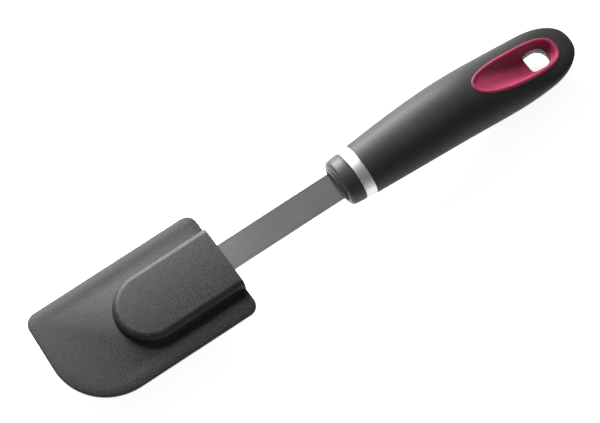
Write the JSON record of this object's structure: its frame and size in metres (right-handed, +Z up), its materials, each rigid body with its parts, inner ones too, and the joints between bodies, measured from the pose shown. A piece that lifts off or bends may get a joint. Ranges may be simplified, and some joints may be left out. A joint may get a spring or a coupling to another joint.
{
  "type": "silicone scraper spatula",
  "caption": "Kitchen scraper with a flat silicone head on a thick socket, a flat steel shank and a soft grip with a coloured thumb bowl and hanging hole.",
  "frame": {"origin": "centre of the bounding box on the plane of the lowest point, which is the handle's belly below the hanging hole", "axes": "+X along the length from the blade's tip to the handle's end, +Y across the blade towards its straight edge with the small tip corner, +Z up, out of the face that carries the socket and the thumb bowl"},
  "size_m": [0.2999, 0.06, 0.0295],
  "materials": {
    "silicone": "matt silicone with a fine mottled grain",
    "nylon": "moulded, unpainted",
    "steel": "satin, brushed along its length",
    "cap_plastic": "satin black",
    "polished_steel": "bright, fine turned lines",
    "soft_grip": "matt soft-touch",
    "burgundy": "semi-gloss"
  },
  "bodies": {
    "handle": {"shank": "steel", "nose_cap": "cap_plastic", "ferrule_ring": "polished_steel", "handle_core": "nylon", "tang_pins": "steel", "grip_sleeve": "soft_grip", "hang_insert": "burgundy"},
    "head": {"blade_head": "silicone", "head_core": "nylon"}
  },
  "joints": [
    {"name": "head_pull", "type": "slide", "parent": "handle", "child": "head", "axis": [-1, 0, 0], "range_m": [0, 0.05]}
  ]
}
